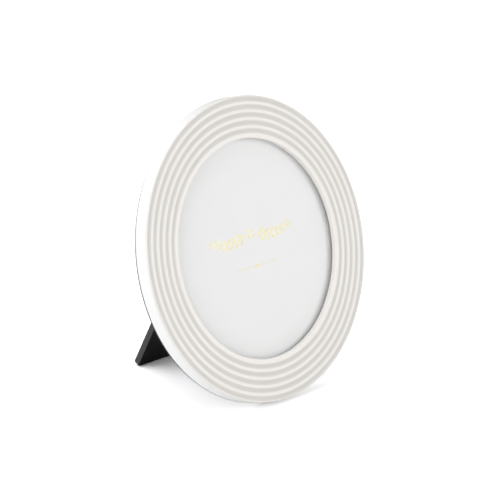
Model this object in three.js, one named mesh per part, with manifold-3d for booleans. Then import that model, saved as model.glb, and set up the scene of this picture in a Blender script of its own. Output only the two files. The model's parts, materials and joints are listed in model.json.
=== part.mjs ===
// Round table picture frame: a striped rim with glass, card and back panel, held by turn buttons,
// standing on a folding easel leg. Millimetres, +Z up, the picture faces -Y.
// The origin lies on the table, under the middle of the bounding box.
import * as THREE from 'three';
import { mergeVertices } from 'three/addons/utils/BufferGeometryUtils.js';
import Module from 'manifold-3d';

const wasm = await Module();
wasm.setup();

// Rim: a turned ring with a round window
const WINDOW_RADIUS = 57.4;
const RIM_WIDTH = 22.6;
const LIP_DEPTH = 3.3;
const LIP_OVERLAP = 5.4;
const WINDOW_ROUND = 0.6;
const FRONT_ROUND = 0.9;
const BACK_ROUND = 1.0;

// Stripes: shallow flat-bottomed channels, counted inwards from the rim's rounded edge
const STRIPE_PITCH = 4.144;
const STRIPE_WIDTH = 2.384;
const STRIPE_DEPTH = 0.25;
const STRIPE_SLOPE = 0.15;
const STRIPE_TO_WINDOW = 1.5;

// Layers in the rebate, front to back
const GLASS_THICKNESS = 2.0;
const CARD_THICKNESS = 0.4;
const PANEL_THICKNESS = 2.4;

// Clearances
const SEAT_GAP = 0.3;
const REBATE_PLAY = 0.4;
const PIN_PLAY = 0.25;

// Stance: how far the face leans back and how far the leg opens from the back panel
const LEAN_DEG = 15;
const OPEN_DEG = 42;

// Easel leg: a tapered board, cut square at the foot with a narrow land that lies on the table
const LEG_TOP_WIDTH = 21.7;
const LEG_FOOT_WIDTH = 27.7;
const LEG_THICKNESS = 3.6;
const LEG_TOP_ROUND = 3;
const LEG_FOOT_ROUND = 3;
const LEG_TOP_GAP = 0.9;
const FOOT_LAND = 1.2;

// Hinge between the back panel and the leg
const HINGE_SETBACK = 25.4;
const LEAF_WIDTH = 16;
const LEAF_THICKNESS = 0.8;
const LEAF_ROUND = 2;
const PANEL_LEAF_LENGTH = 13;
const LEG_LEAF_LENGTH = 16;
const BARREL_WALL = 0.75;
const MIDDLE_KNUCKLE_WIDTH = 6.4;
const TONGUE_SHOULDER = 0.8;
const TONGUE_LENGTH = 5;
const PIN_RADIUS = 0.7;
const PIN_END = 0.6;
const PIN_CHAMFER = 0.2;

// Rivets of both leaves, placed by their distance from the leaf's sides and from its end
const RIVET_RADIUS = 0.9;
const RIVET_HEAD_RADIUS = 1.9;
const RIVET_HEAD_HEIGHT = 0.9;
const RIVET_TO_SIDE = 3.2;
const PANEL_RIVET_TO_END = 5;
const LEG_RIVET_TO_END = 6;

// Turn buttons and their screws, in a ring on the back of the rim
const BUTTON_COUNT = 4;
const BUTTON_WIDTH = 7;
const BUTTON_THICKNESS = 0.9;
const BUTTON_OVERLAP = 4.5;
const SCREW_RADIUS = 1.0;
const SCREW_BITE = 4.5;
const SCREW_HEAD_RADIUS = 2.4;
const SCREW_HEAD_HEIGHT = 1.3;

// Facets
const RIM_SEGMENTS = 72;
const SMALL_SEGMENTS = 20;
const ROUND_STEPS = 3;
const DOME_STEPS = 4;
const CORNER_STEPS = 4;

// Sizes that follow from the ones above
const lean = THREE.MathUtils.degToRad(LEAN_DEG);
const open = THREE.MathUtils.degToRad(OPEN_DEG);
const rimRadius = WINDOW_RADIUS + RIM_WIDTH;
const rebateRadius = WINDOW_RADIUS + LIP_OVERLAP;
const discRadius = rebateRadius - REBATE_PLAY;
const glassFront = LIP_DEPTH + SEAT_GAP;
const cardFront = glassFront + GLASS_THICKNESS + SEAT_GAP;
const panelFront = cardFront + CARD_THICKNESS + SEAT_GAP;
const rimDepth = panelFront + PANEL_THICKNESS;
const boreRadius = PIN_RADIUS + PIN_PLAY;
const barrelRadius = boreRadius + BARREL_WALL;
const pinDepth = rimDepth + SEAT_GAP + barrelRadius;
const pinRise = discRadius - HINGE_SETBACK;
const leafInner = -barrelRadius;
const leafOuter = leafInner + LEAF_THICKNESS;
const knuckleClear = barrelRadius + SEAT_GAP;
const rivetSpacing = LEAF_WIDTH - 2 * RIVET_TO_SIDE;
const panelRivetRise = PANEL_LEAF_LENGTH - PANEL_RIVET_TO_END;
const legRivetDrop = LEG_LEAF_LENGTH - LEG_RIVET_TO_END;
const screwCircle = (rebateRadius + rimRadius - BACK_ROUND) / 2;
const buttonInner = rimDepth + SEAT_GAP;
const buttonOuter = buttonInner + BUTTON_THICKNESS;

const QUARTER = Math.PI / 2;

// Solids

/** Turns a closed three.js geometry into a solid that can be joined and cut. */
function solidOf(geometry) {
  const bare = geometry.index ? geometry.toNonIndexed() : geometry.clone();
  bare.deleteAttribute('normal');
  bare.deleteAttribute('uv');
  const merged = mergeVertices(bare);
  return new wasm.Manifold(new wasm.Mesh({
    numProp: 3,
    vertProperties: new Float32Array(merged.attributes.position.array),
    triVerts: new Uint32Array(merged.index.array),
  }));
}

/** Turns a solid back into a three.js geometry. */
function geometryOf(solid) {
  const mesh = solid.getMesh();
  const geometry = new THREE.BufferGeometry();
  geometry.setAttribute('position', new THREE.BufferAttribute(new Float32Array(mesh.vertProperties), 3));
  geometry.setIndex(new THREE.BufferAttribute(new Uint32Array(mesh.triVerts), 1));
  geometry.computeVertexNormals();
  return geometry;
}

/** A bar of constant section along X; the outline is drawn as (depth, height). */
function extrudeAlongX(shape, width) {
  const geometry = new THREE.ExtrudeGeometry(shape, { depth: width, bevelEnabled: false });
  geometry.translate(0, 0, -width / 2);
  const turn = new THREE.Matrix4().makeBasis(
    new THREE.Vector3(0, 1, 0),
    new THREE.Vector3(0, 0, 1),
    new THREE.Vector3(1, 0, 0),
  );
  return geometry.applyMatrix4(turn);
}

/** A plate between two depths; the outline is drawn as (across, height). */
function extrudePlate(shape, inner, outer, curveSegments) {
  const depth = outer - inner;
  const geometry = new THREE.ExtrudeGeometry(shape, { depth, bevelEnabled: false, curveSegments });
  geometry.rotateX(QUARTER);
  return geometry.translate(0, outer, 0);
}

/** A round bar along the depth direction, between two depths. */
function roundBar(radius, inner, outer, x, z, segments) {
  const bar = new THREE.CylinderGeometry(radius, radius, outer - inner, segments);
  return bar.translate(x, (inner + outer) / 2, z);
}

/** A solid with a round hole through each of the given (across, height) places, between two depths. */
function drilled(solid, radius, inner, outer, places) {
  let rest = solid;
  for (const { x, y } of places) {
    const drill = roundBar(radius, inner - SEAT_GAP, outer + SEAT_GAP, x, y, SMALL_SEGMENTS);
    rest = rest.subtract(solidOf(drill));
  }
  return rest;
}

/** A round bar along X, centred on x. */
function crossBar(radius, width, x) {
  const bar = new THREE.CylinderGeometry(radius, radius, width, SMALL_SEGMENTS);
  bar.rotateZ(QUARTER);
  return bar.translate(x, 0, 0);
}

/** A box between two depths and two heights, centred on x. */
function block(width, inner, outer, low, high, x) {
  const box = new THREE.BoxGeometry(width, outer - inner, high - low);
  return box.translate(x, (inner + outer) / 2, (low + high) / 2);
}

/** Points of a quarter round in a turned profile, given as (radius, depth). */
function quarterRound(centreRadius, centreDepth, round, startAngle) {
  const points = [];
  for (let step = 0; step <= ROUND_STEPS; step += 1) {
    const angle = startAngle + QUARTER * step / ROUND_STEPS;
    points.push(new THREE.Vector2(
      centreRadius + round * Math.cos(angle),
      centreDepth + round * Math.sin(angle),
    ));
  }
  return points;
}

/** A headed pin along the depth direction: a shank from its tip to its seat, then a domed head. */
function headedPin(shankRadius, headRadius, headHeight, tip, seat) {
  const profile = [
    new THREE.Vector2(0, tip),
    new THREE.Vector2(shankRadius, tip),
    new THREE.Vector2(shankRadius, seat),
    new THREE.Vector2(headRadius, seat),
  ];
  for (let step = 1; step <= DOME_STEPS; step += 1) {
    const angle = QUARTER * step / DOME_STEPS;
    const radius = step === DOME_STEPS ? 0 : headRadius * Math.cos(angle);
    profile.push(new THREE.Vector2(radius, seat + headHeight * Math.sin(angle)));
  }
  return new THREE.LatheGeometry(profile, SMALL_SEGMENTS);
}

// Rim

/** The stripes that fit on the rim's face, as [inner radius, outer radius], from the window outwards. */
function stripes() {
  const faceEdge = rimRadius - FRONT_ROUND;
  const innermost = WINDOW_RADIUS + WINDOW_ROUND + STRIPE_TO_WINDOW;
  const room = faceEdge - STRIPE_WIDTH - innermost;
  const count = Math.floor(room / STRIPE_PITCH) + 1;
  const bands = [];
  for (let k = count - 1; k >= 0; k -= 1) {
    const outer = faceEdge - k * STRIPE_PITCH;
    bands.push([outer - STRIPE_WIDTH, outer]);
  }
  return bands;
}

/** The rim's closed profile, from the window's front edge round the face, wall, back and rebate. */
function rimProfile() {
  const points = quarterRound(WINDOW_RADIUS + WINDOW_ROUND, WINDOW_ROUND, WINDOW_ROUND, Math.PI);
  const bands = stripes();
  bands.forEach(([inner, outer], index) => {
    points.push(new THREE.Vector2(inner, 0));
    points.push(new THREE.Vector2(inner + STRIPE_SLOPE, STRIPE_DEPTH));
    points.push(new THREE.Vector2(outer - STRIPE_SLOPE, STRIPE_DEPTH));
    if (index < bands.length - 1) {
      points.push(new THREE.Vector2(outer, 0));
    }
  });
  points.push(...quarterRound(rimRadius - FRONT_ROUND, FRONT_ROUND, FRONT_ROUND, 3 * QUARTER));
  points.push(...quarterRound(rimRadius - BACK_ROUND, rimDepth - BACK_ROUND, BACK_ROUND, 0));
  points.push(new THREE.Vector2(rebateRadius, rimDepth));
  points.push(new THREE.Vector2(rebateRadius, LIP_DEPTH));
  points.push(new THREE.Vector2(WINDOW_RADIUS, LIP_DEPTH));
  points.push(points[0].clone());
  return points;
}

/** Angles of the turn buttons, half a step away from the leg's line. */
function buttonAngles() {
  const step = 2 * Math.PI / BUTTON_COUNT;
  const angles = [];
  for (let k = 0; k < BUTTON_COUNT; k += 1) {
    angles.push(k * step + step / 2);
  }
  return angles;
}

/** Place of a turn button's screw on the back of the rim, as (across, height). */
function screwPlace(angle) {
  return new THREE.Vector2(screwCircle * Math.cos(angle), screwCircle * Math.sin(angle));
}

/** The rim with one flat of its facets level at the bottom, and blind holes for the screws. */
function rimGeometry(profile) {
  const ring = solidOf(new THREE.LatheGeometry(profile, RIM_SEGMENTS, Math.PI / RIM_SEGMENTS));
  const places = buttonAngles().map(screwPlace);
  return geometryOf(drilled(ring, SCREW_RADIUS + PIN_PLAY, rimDepth - SCREW_BITE, rimDepth, places));
}

// Back panel

/** Places of a leaf's left and right rivets, as (across, height). */
function rivetPlaces(height) {
  const half = rivetSpacing / 2;
  return { left: new THREE.Vector2(-half, height), right: new THREE.Vector2(half, height) };
}

/** A solid drilled for a leaf's two rivets. */
function drilledForRivets(solid, inner, outer, height) {
  return drilled(solid, RIVET_RADIUS + PIN_PLAY, inner, outer, Object.values(rivetPlaces(height)));
}

/** A disc that lies in the rebate. */
function rebateDisc(front, thickness) {
  return roundBar(discRadius, front, front + thickness, 0, 0, RIM_SEGMENTS);
}

/** The back panel, a disc drilled for the two rivets of the hinge leaf. */
function panelGeometry() {
  const disc = solidOf(rebateDisc(panelFront, PANEL_THICKNESS));
  return geometryOf(drilledForRivets(disc, panelFront, rimDepth, pinRise + panelRivetRise));
}

// Hinge, drawn about the pin: depth grows away from the panel, height grows up the panel

/** Outline of a leaf that runs from the pin line to its end, with the end's corners rounded. */
function leafOutline(length, direction) {
  const half = LEAF_WIDTH / 2;
  const end = direction * length;
  const roundStart = direction * (length - LEAF_ROUND);
  const shape = new THREE.Shape();
  shape.moveTo(-half, 0);
  shape.lineTo(half, 0);
  shape.lineTo(half, roundStart);
  shape.quadraticCurveTo(half, end, half - LEAF_ROUND, end);
  shape.lineTo(-half + LEAF_ROUND, end);
  shape.quadraticCurveTo(-half, end, -half, roundStart);
  shape.closePath();
  return shape;
}

/** A leaf plate with its two rivet holes. */
function leafPlate(length, direction, rivetHeight) {
  const plate = extrudePlate(leafOutline(length, direction), leafInner, leafOuter, CORNER_STEPS);
  return drilledForRivets(solidOf(plate), leafInner, leafOuter, rivetHeight);
}

/** Width and centre of each outer knuckle. */
function outerKnuckle() {
  const inner = MIDDLE_KNUCKLE_WIDTH / 2 + SEAT_GAP;
  const outer = LEAF_WIDTH / 2;
  return { width: outer - inner, centre: (inner + outer) / 2 };
}

/** A leaf plate notched where a knuckle of the other leaf turns. */
function notched(plate, knuckleWidth, x, direction) {
  const reach = direction * knuckleClear;
  const start = -direction * SEAT_GAP;
  const low = Math.min(start, reach);
  const high = Math.max(start, reach);
  const notch = block(knuckleWidth + 2 * SEAT_GAP, leafInner - SEAT_GAP, leafOuter + SEAT_GAP, low, high, x);
  return plate.subtract(solidOf(notch));
}

/** A leaf bored for the pin from side to side. */
function bored(leaf) {
  return leaf.subtract(solidOf(crossBar(boreRadius, LEAF_WIDTH + 2 * SEAT_GAP, 0)));
}

/** The leaf on the back panel: two outer knuckles, with a notch that the middle knuckle turns in. */
function panelLeafGeometry() {
  let leaf = notched(leafPlate(PANEL_LEAF_LENGTH, 1, panelRivetRise), MIDDLE_KNUCKLE_WIDTH, 0, 1);
  const knuckle = outerKnuckle();
  for (const side of [-1, 1]) {
    leaf = leaf.add(solidOf(crossBar(barrelRadius, knuckle.width, side * knuckle.centre)));
  }
  return geometryOf(bored(leaf));
}

/** The leaf on the leg, drawn with the leg folded: middle knuckle, and the tongue that stops the open leg. */
function legLeafGeometry() {
  let leaf = leafPlate(LEG_LEAF_LENGTH, -1, -legRivetDrop);
  const knuckle = outerKnuckle();
  for (const side of [-1, 1]) {
    leaf = notched(leaf, knuckle.width, side * knuckle.centre, -1);
  }
  leaf = leaf.add(solidOf(crossBar(barrelRadius, MIDDLE_KNUCKLE_WIDTH, 0)));
  const tongueInner = leafOuter + SEAT_GAP;
  const tongueWidth = MIDDLE_KNUCKLE_WIDTH - 2 * TONGUE_SHOULDER;
  const tongue = block(tongueWidth, tongueInner, tongueInner + LEAF_THICKNESS, 0, TONGUE_LENGTH, 0);
  leaf = leaf.add(solidOf(tongue.rotateX(-open)));
  return geometryOf(bored(leaf));
}

/** The hinge pin, a little longer than the leaves are wide, with chamfered ends. */
function pinGeometry() {
  const half = LEAF_WIDTH / 2 + PIN_END;
  const profile = [
    new THREE.Vector2(0, -half),
    new THREE.Vector2(PIN_RADIUS - PIN_CHAMFER, -half),
    new THREE.Vector2(PIN_RADIUS, -half + PIN_CHAMFER),
    new THREE.Vector2(PIN_RADIUS, half - PIN_CHAMFER),
    new THREE.Vector2(PIN_RADIUS - PIN_CHAMFER, half),
    new THREE.Vector2(0, half),
  ];
  return new THREE.LatheGeometry(profile, SMALL_SEGMENTS).rotateZ(QUARTER);
}

// Leg, drawn folded, about the pin

const legInner = leafOuter + SEAT_GAP;
const legOuter = legInner + LEG_THICKNESS;
const legTop = -(barrelRadius + LEG_TOP_GAP);

/** How far below the pin the leg's inner face meets the table, with the rim's lowest facet on it. */
function legReach(profile) {
  const facet = Math.cos(Math.PI / RIM_SEGMENTS);
  const drops = profile.map((point) => point.y * Math.sin(lean) + point.x * facet * Math.cos(lean));
  const rimDrop = Math.max(...drops);
  const pinHeight = pinRise * Math.cos(lean) - pinDepth * Math.sin(lean);
  const tilt = open - lean;
  return (pinHeight + legInner * Math.sin(tilt) + rimDrop) / Math.cos(tilt);
}

/** Side view of the leg as (depth, height): a square-cut board with a level land at the foot. */
function legSide(reach) {
  const tilt = open - lean;
  const foot = -reach - FOOT_LAND * Math.sin(tilt);
  const shape = new THREE.Shape();
  shape.moveTo(legInner, legTop);
  shape.lineTo(legInner, -reach);
  shape.lineTo(legInner + FOOT_LAND * Math.cos(tilt), foot);
  shape.lineTo(legOuter, foot);
  shape.lineTo(legOuter, legTop);
  shape.closePath();
  return { shape, foot };
}

/** Front view of the leg as (across, height): narrow at the hinge, wide at the foot, corners rounded. */
function legOutline(foot) {
  const top = LEG_TOP_WIDTH / 2;
  const base = LEG_FOOT_WIDTH / 2;
  const slope = (base - top) / (legTop - foot);
  const topSide = top + slope * LEG_TOP_ROUND;
  const footSide = base - slope * LEG_FOOT_ROUND;
  const shape = new THREE.Shape();
  shape.moveTo(-base + LEG_FOOT_ROUND, foot);
  shape.lineTo(base - LEG_FOOT_ROUND, foot);
  shape.quadraticCurveTo(base, foot, footSide, foot + LEG_FOOT_ROUND);
  shape.lineTo(topSide, legTop - LEG_TOP_ROUND);
  shape.quadraticCurveTo(top, legTop, top - LEG_TOP_ROUND, legTop);
  shape.lineTo(-top + LEG_TOP_ROUND, legTop);
  shape.quadraticCurveTo(-top, legTop, -topSide, legTop - LEG_TOP_ROUND);
  shape.lineTo(-footSide, foot + LEG_FOOT_ROUND);
  shape.quadraticCurveTo(-base, foot, -base + LEG_FOOT_ROUND, foot);
  shape.closePath();
  return shape;
}

/** The leg board, drilled for the two rivets of its leaf. */
function legGeometry(profile) {
  const { shape, foot } = legSide(legReach(profile));
  const outline = solidOf(extrudePlate(legOutline(foot), legInner, legOuter, CORNER_STEPS));
  const widest = Math.max(LEG_TOP_WIDTH, LEG_FOOT_WIDTH);
  const board = solidOf(extrudeAlongX(shape, 2 * widest)).intersect(outline);
  return geometryOf(drilledForRivets(board, legInner, legOuter, -legRivetDrop));
}

// Turn buttons

/** A turn button drawn about its screw, pointing down: round ends, and a hole for the screw. */
function buttonGeometry() {
  const round = BUTTON_WIDTH / 2;
  const reach = screwCircle - (rebateRadius - BUTTON_OVERLAP);
  const tip = -(reach - round);
  const shape = new THREE.Shape();
  shape.absarc(0, 0, round, 0, Math.PI, false);
  shape.lineTo(-round, tip);
  shape.absarc(0, tip, round, Math.PI, 2 * Math.PI, false);
  shape.closePath();
  const plate = solidOf(extrudePlate(shape, buttonInner, buttonOuter, SMALL_SEGMENTS / 2));
  const pivot = new THREE.Vector2(0, 0);
  return geometryOf(drilled(plate, SCREW_RADIUS + PIN_PLAY, buttonInner, buttonOuter, [pivot]));
}

// Finishes

const FINISH = {
  cream: { color: '#efece6', roughness: 0.45, metalness: 0 },
  glass: { color: '#e9eef0', roughness: 0.05, metalness: 0, transparent: true, opacity: 0.3 },
  card: { color: '#ebebeb', roughness: 0.85, metalness: 0 },
  board: { color: '#17191b', roughness: 0.8, metalness: 0 },
  steel: { color: '#9c9ea1', roughness: 0.4, metalness: 1 },
  brass: { color: '#b49a5e', roughness: 0.4, metalness: 1 },
};

/** A named mesh with a material of its own. */
function piece(name, geometry, finish) {
  const mesh = new THREE.Mesh(geometry, new THREE.MeshStandardMaterial(finish));
  mesh.name = name;
  return mesh;
}

// Assembly: the face stands upright in this group, which then leans back

const profile = rimProfile();
const upright = new THREE.Group();
upright.add(piece('frame_ring', rimGeometry(profile), FINISH.cream));
upright.add(piece('glass_pane', rebateDisc(glassFront, GLASS_THICKNESS), FINISH.glass));
upright.add(piece('photo_card', rebateDisc(cardFront, CARD_THICKNESS), FINISH.card));
upright.add(piece('back_panel', panelGeometry(), FINISH.board));

const hinge = new THREE.Group();
hinge.position.set(0, pinDepth, pinRise);
hinge.add(piece('hinge_panel_leaf', panelLeafGeometry(), FINISH.steel));
hinge.add(piece('hinge_pin', pinGeometry(), FINISH.steel));
upright.add(hinge);

const leg = new THREE.Group();
leg.rotation.x = open;
leg.add(piece('easel_leg', legGeometry(profile), FINISH.board));
leg.add(piece('hinge_leg_leaf', legLeafGeometry(), FINISH.steel));
hinge.add(leg);

/** Adds a leaf's two rivets, from their tips to the face that their heads lie on. */
function addRivets(parent, name, tip, face, height) {
  for (const [side, place] of Object.entries(rivetPlaces(height))) {
    const shape = headedPin(RIVET_RADIUS, RIVET_HEAD_RADIUS, RIVET_HEAD_HEIGHT, tip, face + SEAT_GAP);
    const rivet = piece(`${name}_${side}`, shape, FINISH.steel);
    rivet.position.set(place.x, 0, place.y);
    parent.add(rivet);
  }
}
addRivets(hinge, 'panel_rivet', panelFront - pinDepth, leafOuter, panelRivetRise);
addRivets(leg, 'leg_rivet', leafInner, legOuter, -legRivetDrop);

buttonAngles().forEach((angle, index) => {
  const { x, y } = screwPlace(angle);
  const place = new THREE.Group();
  place.position.set(x, 0, y);
  place.rotation.y = QUARTER - angle;
  const seat = buttonOuter + SEAT_GAP;
  const screw = headedPin(SCREW_RADIUS, SCREW_HEAD_RADIUS, SCREW_HEAD_HEIGHT, rimDepth - SCREW_BITE, seat);
  place.add(piece(`turn_button_${index + 1}`, buttonGeometry(), FINISH.brass));
  place.add(piece(`button_screw_${index + 1}`, screw, FINISH.brass));
  upright.add(place);
});

upright.rotation.x = -lean;
const roundPictureFrame = new THREE.Group();
roundPictureFrame.add(upright);
roundPictureFrame.updateMatrixWorld(true);
const bounds = new THREE.Box3().setFromObject(roundPictureFrame, true);
const middle = bounds.getCenter(new THREE.Vector3());
upright.position.set(-middle.x, -middle.y, -bounds.min.z);

export default roundPictureFrame;
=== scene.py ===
"""Dresses a round striped table frame for a studio picture.

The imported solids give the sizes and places. Each class builds one sub-assembly around them as fine
meshes: the striped rim, the glazing, the back board, the strut hinge, its leg and the swivel buttons.
The last class sets the floor, the light and the camera.
"""

import json
import logging
import math
from collections.abc import Callable, Iterable, Sequence
from dataclasses import dataclass, field, replace
from enum import Enum
from typing import Any

import bmesh
import bpy
from bmesh.types import BMesh, BMVert
from bpy.types import ID, Material, Mesh, Node, NodeSocket, NodeTree, Object
from mathutils import Matrix, Vector

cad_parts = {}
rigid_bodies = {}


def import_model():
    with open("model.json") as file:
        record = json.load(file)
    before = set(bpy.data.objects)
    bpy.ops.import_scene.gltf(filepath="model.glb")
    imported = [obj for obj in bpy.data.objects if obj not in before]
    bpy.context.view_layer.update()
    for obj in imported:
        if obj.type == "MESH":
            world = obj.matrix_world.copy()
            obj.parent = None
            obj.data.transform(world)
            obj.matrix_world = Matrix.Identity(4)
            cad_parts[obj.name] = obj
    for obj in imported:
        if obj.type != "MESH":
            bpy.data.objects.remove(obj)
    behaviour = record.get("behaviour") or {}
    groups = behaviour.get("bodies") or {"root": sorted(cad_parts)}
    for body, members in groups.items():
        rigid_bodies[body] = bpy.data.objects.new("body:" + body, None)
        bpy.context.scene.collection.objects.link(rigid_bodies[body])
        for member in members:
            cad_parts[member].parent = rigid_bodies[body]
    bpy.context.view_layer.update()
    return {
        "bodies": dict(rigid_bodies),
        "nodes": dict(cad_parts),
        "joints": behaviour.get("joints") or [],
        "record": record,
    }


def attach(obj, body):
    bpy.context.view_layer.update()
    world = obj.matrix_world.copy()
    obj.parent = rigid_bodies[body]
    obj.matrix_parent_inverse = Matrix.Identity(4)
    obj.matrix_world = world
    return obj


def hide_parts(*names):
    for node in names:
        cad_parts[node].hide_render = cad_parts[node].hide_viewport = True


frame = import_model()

MM = 0.001
QUARTER_TURN = math.pi / 2
HALF_TURN = math.pi
FULL_TURN = 2 * math.pi
BROAD_FACE = math.cos(math.radians(30))
CRISP_EDGE = math.radians(35)
HOLE_SEGMENTS = 32
DRILL_PAST = 1 * MM
RIVET_SIDES = ("left", "right")
BUTTON_NUMBERS = (1, 2, 3, 4)
LOG = logging.getLogger("round_frame")

Point = tuple[float, float]
Colour = tuple[float, float, float]
Sources = dict[str | int, Any]


class Body(Enum):
    """The bodies that pieces ride on."""

    FRAME = "frame"
    LEG = "leg"
    BUTTON_1 = "button_1"
    BUTTON_2 = "button_2"
    BUTTON_3 = "button_3"
    BUTTON_4 = "button_4"


class Slot(Enum):
    """The record's material slots."""

    RIM = "rim_lacquer"
    GLASS = "glass"
    CARD = "card"
    BOARD = "black_board"
    STEEL = "hinge_steel"
    BRASS = "button_brass"


class Cut(Enum):
    """What a tool does to the mesh that it meets."""

    REMOVE = "DIFFERENCE"
    JOIN = "UNION"


class Coat(Enum):
    """The coats of paint on the rim, as material indices. The coats at the window seat and at the back edge
    are painted shade, not paint that the rim has.
    """

    CREAM = 0
    GREY = 1
    WHITE = 2
    PRIMER = 3
    THIN = 4
    BACK_SHADE = 5
    FEATHER = 6


class Effect(Enum):
    """Surface effects that several finishes share."""

    MOTTLE = "slow mottle"
    GRAIN = "fine grain"
    WEAR = "rubbed edges"
    RISE = "colour that changes with height"


# Frames on the part


class Bench:
    """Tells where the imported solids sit, in frames that lean or fold with the part."""

    def __init__(self, packed: dict[str, Any]) -> None:
        """Sets up the leaning frame of the face and the frames of the hinge.

        Args:
            packed: What the frame loader returned.
        """
        self.nodes = packed["nodes"]
        self.joints = {joint["name"]: joint for joint in packed["joints"]}
        fold = self.joints["leg_fold"]
        self.open_angle = math.radians(max(fold["range_deg"]))
        turn = self._lean()
        self.upright = self._face(turn)
        self.hinge = Matrix.Translation(fold["pos_m"]) @ turn
        self.strut = self.hinge @ Matrix.Rotation(self.open_angle, 4, "X")

    def _lean(self) -> Matrix:
        """Finds how the face leans.

        Returns:
            The turn of the face: x right, y into the depth, z up the face.
        """
        right = Vector((1, 0, 0))
        depth = Vector(self.joints["button_1_turn"]["axis"]).normalized()
        up = right.cross(depth)
        return Matrix((right, depth, up)).transposed().to_4x4()

    def _face(self, turn: Matrix) -> Matrix:
        """Finds the frame of the face.

        Args:
            turn: The lean of the face.

        Returns:
            The leaning frame, from the centre of the face.
        """
        low, high = self.extent("frame_ring", turn)
        middle = (low + high) / 2
        return turn @ Matrix.Translation((middle.x, low.y, middle.z))

    def extent(self, node: str, place: Matrix) -> tuple[Vector, Vector]:
        """Measures a solid in a frame of its own.

        Args:
            node: The solid's name.
            place: The frame to measure in.

        Returns:
            The lowest and the highest corner in that frame.
        """
        points = self.points(node, place)
        low = Vector([min(point[axis] for point in points) for axis in range(3)])
        high = Vector([max(point[axis] for point in points) for axis in range(3)])
        return low, high

    def points(self, node: str, place: Matrix) -> list[Vector]:
        """Returns a solid's corners in a frame of its own."""
        inward = place.inverted()
        return [inward @ vertex.co for vertex in self.nodes[node].data.vertices]

    def centre(self, node: str, place: Matrix) -> Vector:
        """Returns the middle of a solid in a frame of its own."""
        low, high = self.extent(node, place)
        return (low + high) / 2

    def bore(self, node: str) -> float:
        """Returns the radius of the hole through a ring that lies in the face."""
        return min(math.hypot(point.x, point.z) for point in self.points(node, self.upright))

    def rivet_spots(self, kind: str, place: Matrix) -> list[Point]:
        """Returns where a pair of rivets sits, as (across, height) in a frame of its own."""
        middles = [self.centre(f"{kind}_{side}", place) for side in RIVET_SIDES]
        return [(middle.x, middle.z) for middle in middles]

    def swivel(self, number: int) -> Matrix:
        """Finds the frame of a swivel button.

        Args:
            number: Which button, from 1.

        Returns:
            The frame on its axis: depth from the face, z away from the face's centre.
        """
        spot = self.upright.inverted() @ Vector(self.joints[f"button_{number}_turn"]["pos_m"])
        away = math.atan2(spot.x, spot.z)
        return self.upright @ Matrix.Translation((spot.x, 0, spot.z)) @ Matrix.Rotation(away, 4, "Y")


# Outlines


def arc(centre: Point, radius: float, start: float, end: float, steps: int) -> list[Point]:
    """Draws a round stretch of an outline between two angles, and returns its points with both ends."""
    angles = [start + (end - start) * step / steps for step in range(steps + 1)]
    return [(centre[0] + radius * math.cos(a), centre[1] + radius * math.sin(a)) for a in angles]


def rounded(corners: Sequence[tuple[Point, float]], steps: int) -> list[Point]:
    """Draws a closed outline with its corners rounded off.

    Args:
        corners: Each corner, and how far from it its round starts.
        steps: How many straight steps each round takes.

    Returns:
        The points of the outline.
    """
    points: list[Point] = []
    count = len(corners)
    for index, (spot, cut) in enumerate(corners):
        if not cut:
            points.append(spot)
            continue
        corner = Vector(spot)
        before = Vector(corners[index - 1][0]) - corner
        after = Vector(corners[(index + 1) % count][0]) - corner
        start = corner + before.normalized() * cut
        end = corner + after.normalized() * cut
        for step in range(steps + 1):
            share = step / steps
            bent = start.lerp(corner, share).lerp(corner.lerp(end, share), share)
            points.append((bent.x, bent.y))
    return points


def ease(share: float) -> float:
    """Returns a share from 0 to 1 with a soft start and a soft end."""
    return share * share * (3 - 2 * share)


def headed(shank: float, head: float, height: float, tip: float, top: float, steps: int) -> list[Point]:
    """Draws the profile of a pin with a domed head.

    Args:
        shank: The shank's radius.
        head: The head's radius.
        height: The head's height.
        tip: Depth of the shank's end.
        top: Depth of the head's top.
        steps: How many straight steps the dome takes.

    Returns:
        The profile, from the tip to the top.
    """
    seat = top - height
    dome = arc((0, 0), 1, 0, QUARTER_TURN, steps)
    crown = [(head * x, seat + height * y) for x, y in dome[:-1]]
    return [(0, tip), (shank, tip), (shank, seat), *crown, (0, top)]


def chamfered(radius: float, low: float, high: float, cut: float) -> list[Point]:
    """Draws the profile of a disc or a pin between two depths, with its edges broken by a cut."""
    start = [(0, low), (radius - cut, low), (radius, low + cut)]
    return start + [(radius, high - cut), (radius - cut, high), (0, high)]


# Meshes


@dataclass(frozen=True)
class SheetRow:
    """One line across a bent sheet: its middle, the way its outer side faces, and its half width."""

    middle: Vector
    outward: Vector
    half_width: float


def mesh_from(build: BMesh, name: str) -> Mesh:
    """Turns a finished build into a mesh whose faces point out.

    Args:
        build: The build, which is freed.
        name: The mesh's name.

    Returns:
        The mesh.
    """
    bmesh.ops.recalc_face_normals(build, faces=build.faces[:])
    mesh = bpy.data.meshes.new(name)
    build.to_mesh(mesh)
    build.free()
    return mesh


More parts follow.
